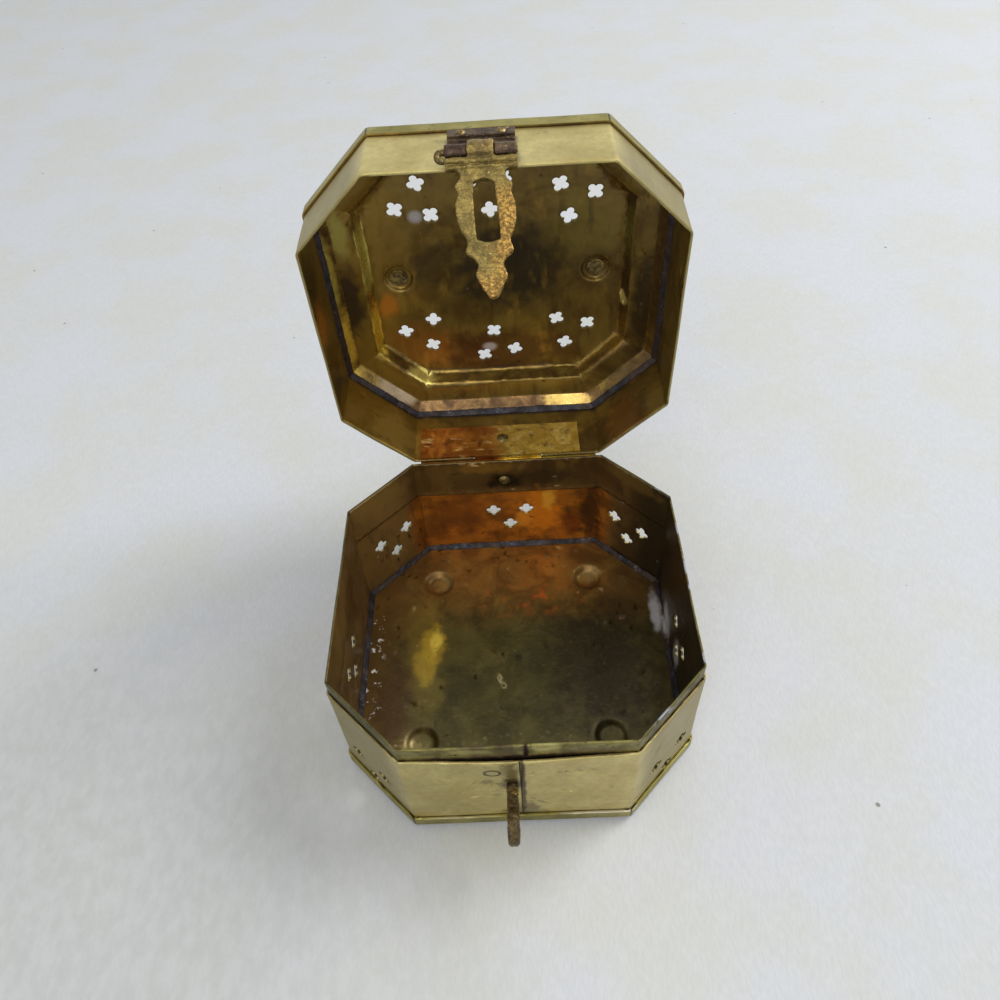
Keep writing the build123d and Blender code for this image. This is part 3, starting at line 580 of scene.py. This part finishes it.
def lid_inner_brass():
    """The lid's inside panel and skirt: dark brown, warmer at the left and the bottom."""
    f = Finish("lid_inner_brass")
    f.soften(0.9)
    clouds = f.gate(f.noise(18, detail=6, distortion=0.9), 0.34, 0.66)
    colour = f.mix(clouds, shade(92, 70, 30), shade(134, 110, 48))
    left = f.gate(f.sum("ADD", f.x, f.sum("MULTIPLY", f.noise(14, shift=2), 24)), -6, -32)
    colour = f.paint(left, 0.7, shade(152, 118, 40), colour)
    colour = f.patches(colour, [
        ((4, 90, 106), (22, 12, 20), 0.85, shade(54, 46, 32)),
        ((-22, 90, 108), (9, 12, 9), 0.6, shade(66, 52, 30)),
        ((2, 90, 70), (30, 12, 12), 0.85, shade(72, 46, 24)),
        ((32, 90, 104), (9, 12, 9), 0.6, shade(60, 48, 26)),
        ((-30, 90, 74), (12, 12, 12), 0.6, shade(150, 96, 34)),
        ((-38.6, 91, 93), (4, 8, 7), 0.7, shade(216, 132, 34)),
        ((-49.6, 84, 124), (4, 5, 9), 0.8, shade(176, 164, 78)),
        ((-50, 85, 99), (5, 5, 16), 0.85, shade(44, 28, 18)),
        ((50, 85, 90), (5, 5, 24), 0.8, shade(46, 32, 20)),
        # Painted orange glint on the left inner wall.
        ((-57, 62, 107), (4, 9, 9), 0.85, shade(204, 128, 42)),
        ((-57, 64, 86), (4, 14, 14), 0.8, shade(78, 50, 30)),
        ((-57, 60, 124), (4, 16, 14), 0.8, shade(58, 46, 28)),
        ((-40, 66, 54), (14, 12, 12), 0.75, shade(196, 160, 76)),
        ((44, 66, 56), (10, 12, 10), 0.6, shade(140, 92, 44)),
        ((30, 86, 120), (16, 12, 16), 0.6, shade(124, 108, 44)),
        ((33, 90, 92), (8, 12, 14), 0.5, shade(112, 84, 32)),
        ((-1.6, 70, 51), (5, 14, 4), 0.7, shade(240, 180, 70)),
    ], ragged=0.6, feature=5.0)
    above = f.gate(f.sum("ADD", f.y, f.noise(4, shift=27)), 79.6, 81.4)
    bead = f.sum("MULTIPLY", above, f.gate(f.y, 83.4, 82.6))
    colour = f.paint(bead, 0.85, shade(52, 46, 52), colour)
    streaks = f.gate(f.noise(3.2, detail=5, stretch=(1, 1, 4), shift=9), 0.53, 0.72)
    colour = f.paint(streaks, 0.45, shade(58, 42, 22), colour)
    gleams = f.gate(f.noise(5, detail=4, stretch=(1, 1, 2.2), shift=29), 0.56, 0.76)
    colour = f.paint(gleams, 0.3, shade(196, 152, 62), colour)
    upper_disc = f.blob((-25, 90.5, 126), (2.8, 9, 2.6), 0.1, 3.0)
    lower_disc = f.blob((-4.2, 90.5, 72), (3, 9, 2.3), 0.1, 3.0)
    grey = f.sum("MAXIMUM", upper_disc, lower_disc)
    colour = f.paint(grey, 0.75, shade(186, 184, 186), colour)
    # Painted shade: ambient occlusion darkens the corners and joints.
    crevice_shade = f.gate(f.crevice(3), 0.3, 0.9)
    colour = f.paint(crevice_shade, 0.5, shade(38, 28, 20), colour)
    f.relief(f.noise(13, detail=3), 0.35, 0.8)
    f.relief(f.noise(1.4, detail=4, shift=12), 0.1, 0.1)
    rough = f.spread(f.noise(8, detail=5, shift=4), 0.2, 0.42)
    return f.done(colour, rough, f.spread(grey, tarnished, 0.2))


def slope_brass():
    """The lid's slopes, with painted highlights and reflections that make most of them brighter than the flats
    between them, and painted shade on those at the right.
    """
    f = Finish("slope_brass")
    f.soften(0.9)
    clouds = f.gate(f.noise(9, detail=5, distortion=1.2), 0.36, 0.66)
    colour = f.mix(clouds, shade(104, 80, 36), shade(160, 130, 60))
    skirt_end = f.sum("MULTIPLY", f.gate(f.z, 56, 52), f.gate(f.y, 87.5, 86))
    colour = f.paint(skirt_end, 0.75, f.mix(clouds, shade(84, 58, 38), shade(128, 94, 62)), colour)
    dark = f.gate(f.noise(5, detail=5, shift=5), 0.52, 0.7)
    colour = f.paint(dark, 0.65, shade(66, 48, 24), colour)
    # Painted shade: the slopes at the right darker.
    right = f.gate(f.x, 34, 44)
    colour = f.paint(right, 0.75, shade(70, 52, 30), colour)
    # Painted highlights and reflections along the slopes.
    colour = f.patches(colour, [
        ((-44, 88, 84), (5, 6, 13), 1.0, shade(255, 220, 80)),
        ((-44, 88, 114), (5, 6, 15), 0.95, shade(216, 202, 100)),
        ((-54, 82, 83), (4, 4, 15), 1.0, shade(255, 216, 84)),
        ((-54, 81, 112), (2, 3, 16), 0.85, shade(208, 190, 88)),
        ((-30, 87, 62), (7, 6, 6), 1.0, shade(255, 232, 130)),
        ((-40, 84, 60), (12, 5, 8), 0.7, shade(176, 156, 130)),
        ((24, 84, 51), (9, 4, 4), 1.0, shade(255, 214, 120)),
        ((4, 86, 55), (3, 4, 4), 0.7, shade(220, 160, 96)),
        ((-36, 86, 57), (6, 5, 5), 0.6, shade(200, 178, 144)),
        ((43, 89, 92), (2, 4, 3.5), 1.0, shade(255, 240, 150)),
        ((45, 87, 118), (4, 6, 12), 0.5, shade(150, 140, 66)),
        ((44, 87, 76), (9, 6, 10), 0.6, shade(160, 122, 52)),
    ], ragged=0.6, feature=4.0)
    f.relief(f.noise(8, detail=4), 0.4, 0.5)
    return f.done(colour, f.spread(clouds, 0.34, 0.2), 0.7)


def hinge_brass():
    """Orange-brown brass of the hinge leaves, gold at the right."""
    f = Finish("hinge_brass")
    clouds = f.gate(f.noise(7, detail=6, distortion=1.2), 0.36, 0.66)
    colour = f.mix(clouds, shade(160, 98, 38), shade(196, 134, 56))
    right = f.gate(f.x, -6, 2)
    colour = f.paint(right, 0.8, f.mix(clouds, shade(214, 178, 70), shade(250, 226, 118)), colour)
    dark = f.gate(f.noise(4, detail=5, shift=7), 0.54, 0.7)
    colour = f.paint(dark, 0.65, shade(84, 50, 24), colour)
    # Painted highlight streaks along the leaves.
    bright = f.gate(f.noise(2.6, detail=5, stretch=(2.5, 1, 1), shift=15), 0.58, 0.68)
    colour = f.paint(bright, 0.8, shade(255, 234, 160), colour)
    # Painted shade: ambient occlusion darkens the corners and joints.
    crevice_shade = f.gate(f.crevice(1.5), 0.25, 0.8)
    colour = f.mix(crevice_shade, colour, shade(44, 28, 18))
    f.relief(f.noise(5, detail=5), 0.5, 0.4)
    return f.done(colour, f.spread(clouds, 0.4, 0.24), 0.75)


def rivet_brass():
    """Dull, grimy brass of the rivets, washers and hinge pins."""
    f = Finish("rivet_brass")
    clouds = f.gate(f.noise(1.6, detail=5), 0.38, 0.64)
    colour = f.mix(clouds, shade(84, 68, 38), shade(156, 136, 80))
    bright = f.gate(f.noise(1.0, detail=3, shift=5), 0.6, 0.7)
    colour = f.paint(bright, 0.5, shade(190, 172, 116), colour)
    f.relief(f.noise(0.8, detail=4), 0.5, 0.15)
    return f.done(colour, f.spread(clouds, 0.5, 0.36), 0.7)


def cast_brass(name, low, high, gold):
    """Rough sand-cast brass with tooling marks across it, and painted gold highlight grains where gold, a share,
    is high.
    """
    f = Finish(name)
    clouds = f.gate(f.noise(4, detail=6, roughness=0.65), 0.36, 0.66)
    colour = f.mix(clouds, low, high)
    # Painted highlights: gold grains where gold(f) is high.
    grains = f.gate(f.noise(0.9, detail=5, roughness=0.7, shift=12), 0.44, 0.6)
    glint_gold = f.mix(grains, shade(126, 98, 46), shade(206, 160, 78))
    colour = f.mix(gold(f), colour, glint_gold)
    pits = f.gate(f.noise(0.5, detail=4, roughness=0.7, shift=3), 0.5, 0.68)
    colour = f.paint(pits, 0.6, shade(60, 46, 26), colour)
    # Painted pale glints.
    bright = f.gate(f.noise(0.8, detail=4, roughness=0.75, shift=22), 0.6, 0.7)
    colour = f.paint(bright, 0.55, shade(240, 222, 160), colour)
    knuckle = f.blob((-1.7, 54.3, 163.2), (6, 3.1, 3.1), 0.2, 2.0)
    colour = f.paint(knuckle, 0.85, f.mix(clouds, shade(66, 40, 38), shade(112, 78, 66)), colour)
    # Painted shade: ambient occlusion darkens the corners and joints.
    crevice_shade = f.gate(f.crevice(1.2), 0.25, 0.8)
    colour = f.mix(crevice_shade, colour, shade(46, 32, 22))
    tooling = f.noise(0.8, detail=2, stretch=(9, 1, 0.5), shift=6)
    colour = f.paint(f.gate(tooling, 0.5, 0.62), 0.3, shade(84, 70, 38), colour)
    f.relief(tooling, 0.7, 0.2)
    f.relief(f.noise(0.7, detail=4, roughness=0.7), 0.8, 0.2)
    return f.done(colour, f.spread(pits, 0.4, 0.62), 0.7)


def hasp_gold(f):
    """Where the painted gold highlights go: the right limb and the tip of the hasp."""
    limb = f.gate(f.sum("ADD", f.x, f.sum("MULTIPLY", f.noise(2.4, detail=5, shift=8), 7)), 2, 7)
    below = f.gate(f.z, hasp_pin_height - 4, hasp_pin_height - 8)
    tip = f.gate(f.z, hasp_pin_height - 18, hasp_pin_height - 22)
    return f.sum("MAXIMUM", f.sum("MULTIPLY", limb, below), tip)


def knuckle_gold(f):
    """Small painted highlight spots scattered over the fixed leaf and the staple."""
    return f.gate(f.noise(3, shift=8), 0.62, 0.7)


def solder():
    """Dull blue-black solder, browner at its edges, with a few brighter flecks."""
    f = Finish("solder_bead")
    clouds = f.gate(f.noise(4.5, detail=5, roughness=0.65), 0.38, 0.66)
    colour = f.mix(clouds, shade(32, 27, 28), shade(56, 53, 62))
    brown = f.gate(f.noise(7, detail=4, shift=4), 0.44, 0.6)
    colour = f.paint(brown, 0.7, shade(66, 48, 34), colour)
    flecks = f.gate(f.noise(1.1, detail=3, shift=8), 0.66, 0.72)
    colour = f.paint(flecks, 0.5, shade(150, 152, 160), colour)
    f.relief(f.noise(1.4, detail=4, roughness=0.6), 0.5, 0.25)
    smear = f.spill()
    colour = f.paint(smear, 0.8, shade(190, 190, 192), colour)
    return f.done(colour, f.spread(clouds, 0.6, 0.44), 0.4)


def floor_cloth():
    """The pale, mottled ground that the box stands on, with a little lint, and painted shade towards the near
    left.
    """
    f = Finish("floor_cloth")
    clouds = f.gate(f.noise(55, detail=5), 0.36, 0.64)
    colour = f.mix(clouds, shade(203, 204, 199), shade(205, 207, 212))
    # Painted shade: the ground darker towards the near left, where the light falls off.
    near = f.blob((-190, -120, 0), (190, 170, 400), 0.3, 80)
    colour = f.paint(near, 0.75, shade(178, 179, 176), colour)
    mottle = f.gate(f.noise(7, detail=6, roughness=0.7, stretch=(0.6, 1, 1), shift=3), 0.36, 0.64)
    colour = f.paint(mottle, 0.3, shade(212, 213, 215), colour)
    fibres = f.gate(f.noise(1.5, detail=4, stretch=(0.5, 2, 1), shift=13), 0.4, 0.6)
    colour = f.paint(fibres, 0.25, shade(186, 188, 188), colour)
    lint = f.gate(f.sum("ADD", f.cells(26), f.sum("MULTIPLY", f.noise(1.2, shift=5), 0.02)), 0.045, 0.03)
    colour = f.paint(lint, 0.8, shade(120, 116, 106), colour)
    f.relief(f.noise(2.5, detail=4, roughness=0.7), 0.2, 0.25)
    return f.done(colour, 0.95, 0.0)


# Pieces

def add_piece(name, mesh, node, body):
    piece = bpy.data.objects.new(name, mesh)
    bpy.context.scene.collection.objects.link(piece)
    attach(piece, body)
    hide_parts(node)
    return piece


def body_of(node):
    return frame["nodes"][node]["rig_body"]


def fine_mesh(node, longest):
    """The CAD node's surface, cut into triangles with no side much longer than asked."""
    mesh = bmesh.new()
    mesh.from_mesh(frame["nodes"][node].data)
    bmesh.ops.remove_doubles(mesh, verts=mesh.verts, dist=1e-7)
    bmesh.ops.dissolve_limit(mesh, angle_limit=radians(0.3), verts=mesh.verts, edges=mesh.edges)
    bmesh.ops.triangulate(mesh, faces=mesh.faces)
    for turn in range(8):
        long = [e for e in mesh.edges if e.calc_length() > longest]
        if not long:
            break
        bmesh.ops.subdivide_edges(mesh, edges=long, cuts=1)
        bmesh.ops.triangulate(mesh, faces=[face for face in mesh.faces if len(face.verts) > 3])
    flat = [e for e in mesh.edges if len(e.link_faces) == 2 and e.calc_face_angle() < radians(0.2)]
    bmesh.ops.beautify_fill(mesh, faces=mesh.faces, edges=flat, method="ANGLE")
    return mesh


def hand_worked(place, depth, feature):
    """How far hand-bent sheet strays from true at a point: a smooth field, so touching sheets stray alike."""
    return Vector(noise.noise_vector(place / feature)) * depth


def ease(value, low, high):
    """Rises smoothly from 0 at low to 1 at high."""
    share = min(1.0, max(0.0, (value - low) / (high - low)))
    return share * share * (3 - 2 * share)


def front_sag(place, most):
    """Moves the front's top edge outwards, most at its seam; nothing else moves."""
    if place.y > -front_edge:
        return Vector((0, 0, 0))
    across = 1 - ease(abs(place.x - sag_centre), sag_full, sag_end)
    rising = ease(place.z, wall_top - sag_depth, wall_top)
    falling = 1 - ease(place.z, wall_top, wall_top + collar_rise)
    return Vector((0, -most * across * (rising * falling), 0))


def round_bends(mesh):
    """Rounds the folds in the border of the lid's plate, but not near the raw edges of its holes."""
    fixed = {vert for face in mesh.faces if face.material_index == lid_raw for vert in face.verts}
    for ring in range(2):
        fixed |= {edge.other_vert(vert) for vert in fixed for edge in vert.link_edges}
    loose = [vert for vert in mesh.verts if vert not in fixed and on_border(vert.co)]
    for turn in range(fold_turns):
        bmesh.ops.smooth_vert(mesh, verts=loose, factor=0.5, use_axis_x=True, use_axis_y=True, use_axis_z=True)


def finish_mesh(mesh, name, materials, sharp=30):
    """Turns a bmesh into smooth mesh data with its materials."""
    for face in mesh.faces:
        face.smooth = True
    data = bpy.data.meshes.new(name)
    mesh.to_mesh(data)
    mesh.free()
    for material in materials:
        data.materials.append(material)
    data.set_sharp_from_angle(angle=radians(sharp))
    return data


def sheet_piece(node, materials, choose, turn=Matrix.Identity(4), longest=sheet_grain, sag=0.0, folded=False):
    """A sheet-metal node again, with the slight waves of hand-bent brass; turn brings it to the closed box."""
    mesh = fine_mesh(node, longest)
    mesh.normal_update()
    for face in mesh.faces:
        face.material_index = choose(face)
    if folded:
        round_bends(mesh)
    for vert in mesh.verts:
        fade = min(1.0, max(0.0, (hinge_place - vert.co).yz.length / hinge_quiet - 0.9))
        vert.co += hand_worked(turn @ vert.co, wave_depth, wave_length) * fade + front_sag(vert.co, sag)
    data = finish_mesh(mesh, "worn_" + node, materials)
    return add_piece("worn_" + node, data, node, body_of(node))


def outward(face, turn):
    """How much a face looks away from the closed box's upright middle line."""
    centre = turn @ face.calc_center_median()
    flat = Vector((centre.x, centre.y, 0)).normalized()
    return (turn.to_3x3() @ face.normal).dot(flat)


def base_side(face):
    """0 outside, 1 inside, 2 the raw edges of holes and seams."""
    away = outward(face, Matrix.Identity(4))
    if abs(away) < 0.3 and abs(face.normal.z) < 0.9:
        return 2
    return 0 if away > -0.2 else 1


def plate_side(face):
    """0 the floor inside, 1 the flange and underside."""
    return 0 if face.normal.z > 0.5 and face.calc_center_median().z < 2 * mm else 1


def lid_wall_side(face):
    """0 outside, 1 inside."""
    return 0 if outward(face, close_lid) > -0.2 else 1


def lid_plate_side(face):
    """Tells the outside, the flange, the flats and slopes inside, and the raw edges of holes apart."""
    centre = close_lid @ face.calc_center_median()
    up = (close_lid.to_3x3() @ face.normal).z
    if abs(up) < 0.2:
        outmost = max(abs(centre.x) / half_wide, abs(centre.y) / half_deep) > 0.9
        return lid_flange if outmost or outward(face, close_lid) > 0.75 else lid_raw
    if up < -0.93:
        return lid_flat
    return lid_slope if up < 0 else lid_outside


def on_border(place):
    """Says whether a point of the lid's plate lies on its stepped border, clear of its outer edge."""
    closed = close_lid @ place
    past_corner = (abs(closed.x) + abs(closed.y) - cut_sum) / 2 ** 0.5
    across = max(abs(closed.x) - half_wide, abs(closed.y) - half_deep, past_corner)
    return border_end < across < border_start


def roughen(mesh, swell, lump, feature):
    """Moves a skin out by swell and by uneven bumps: lump sets their height and feature their width."""
    mesh.normal_update()
    moves = []
    for vert in mesh.verts:
        uneven = noise.noise(vert.co / feature) + 0.5 * noise.noise(vert.co / (feature * 0.4))
        moves.append(vert.normal * (swell + uneven * lump))
    for vert, move in zip(mesh.verts, moves):
        vert.co += move


def lumpy_bead(node, material):
    """A solder bead with uneven lumps along it."""
    mesh = fine_mesh(node, bead_grain)
    roughen(mesh, 0, bead_swell, bead_feature)
    data = finish_mesh(mesh, "worn_" + node, [material], sharp=80)
    return add_piece("worn_" + node, data, node, body_of(node))


def cast_piece(node, material, voxel, rounding, swell, lump, feature):
    """A cast node again, with rounded edges and an uneven skin; swell makes up for what the rounding takes off."""
    source = bpy.data.objects.new("source", frame["nodes"][node].data.copy())
    bpy.context.scene.collection.objects.link(source)
    remesh = source.modifiers.new("remesh", "REMESH")
    remesh.mode = "VOXEL"
    remesh.voxel_size = voxel
    smooth = source.modifiers.new("smooth", "SMOOTH")
    smooth.factor = 0.5
    smooth.iterations = rounding
    depsgraph = bpy.context.evaluated_depsgraph_get()
    data = bpy.data.meshes.new_from_object(source.evaluated_get(depsgraph))
    bpy.data.objects.remove(source)
    mesh = bmesh.new()
    mesh.from_mesh(data)
    roughen(mesh, swell, lump, feature)
    finished = finish_mesh(mesh, "worn_" + node, [material], sharp=60)
    return add_piece("worn_" + node, finished, node, body_of(node))


def close_fitting(node, material):
    """The hinge's outer knuckles again, with the ends that face the middle one drawn out towards it."""
    data = frame["nodes"][node].data.copy()
    data.materials.clear()
    data.materials.append(material)
    for vert in data.vertices:
        off = vert.co.x - hinge_place.x
        if abs(abs(off) - inner_knuckle_end) < 0.02 * mm:
            vert.co.x -= knuckle_reach if off > 0 else -knuckle_reach
    return add_piece("worn_" + node, data, node, body_of(node))


def dress(node, material):
    """Gives a CAD node its finish and leaves its shape alone."""
    data = frame["nodes"][node].data
    data.materials.clear()
    data.materials.append(material)


make_camera()
make_world(world_light, world_shown)
make_area_light("window", window_place, lamp_target, lamp_size, window_power)
make_area_light("fill", fill_place, lamp_target, lamp_size, fill_power)

ground = bpy.data.meshes.new("ground")
corners = [(x * ground_reach, y * ground_reach, 0) for x, y in ((-1, -1), (1, -1), (1, 1), (-1, 1))]
ground.from_pydata(corners, [], [(0, 1, 2, 3)])
ground.materials.append(floor_cloth())
ground_piece = bpy.data.objects.new("ground", ground)
ground_piece.location.z = floor_height
bpy.context.scene.collection.objects.link(ground_piece)

outer = outer_brass()
flange = flange_brass()
collar = collar_brass()
inner = inner_brass()
floor_inside = floor_brass()
lid_inside = lid_inner_brass()
slopes = slope_brass()
hinge_finish = hinge_brass()
rivet_finish = rivet_brass()
edges = pierced_edge()
hasp_finish = cast_brass("hasp_brass", shade(108, 92, 46), shade(160, 138, 74), hasp_gold)
knuckle_finish = cast_brass("knuckle_brass", shade(58, 40, 34), shade(100, 82, 62), knuckle_gold)
staple_finish = cast_brass("staple_brass", shade(66, 52, 30), shade(104, 86, 52), knuckle_gold)
solder_finish = solder()

sheet_piece("base_wall", [outer, inner, edges], base_side, sag=wall_sag)
sheet_piece("collar_rivet", [outer], lambda face: 0, longest=rivet_grain, sag=wall_sag)
sheet_piece("rim_collar", [collar, inner, edges], base_side, sag=collar_sag)
sheet_piece("bottom_plate", [floor_inside, flange], plate_side)
sheet_piece("lid_wall", [outer, lid_inside], lid_wall_side, close_lid)
sheet_piece("lid_top_plate", [outer, flange, lid_inside, slopes, edges], lid_plate_side, close_lid,
            longest=lid_grain, folded=True)
lumpy_bead("base_solder", solder_finish)
lumpy_bead("lid_solder", solder_finish)
cast_piece("hasp", hasp_finish, 0.2 * mm, 3, 0.1 * mm, 0.2 * mm, 1.4 * mm)
cast_piece("hasp_leaf", knuckle_finish, 0.22 * mm, 3, 0.06 * mm, 0.1 * mm, 1.6 * mm)
cast_piece("staple", staple_finish, 0.16 * mm, 3, 0.2 * mm, 0.2 * mm, 1.2 * mm)
close_fitting("base_hinge_leaf", hinge_finish)
dress("lid_hinge_leaf", hinge_finish)
for node in ("base_leaf_rivet", "lid_leaf_rivet", "hinge_pin", "hasp_pin", "hasp_leaf_rivets", "staple_washer",
             "handle_post_washers", "left_handle_post", "right_handle_post", "handle"):
    dress(node, rivet_finish)

bpy.context.scene.view_settings.view_transform = "Standard"
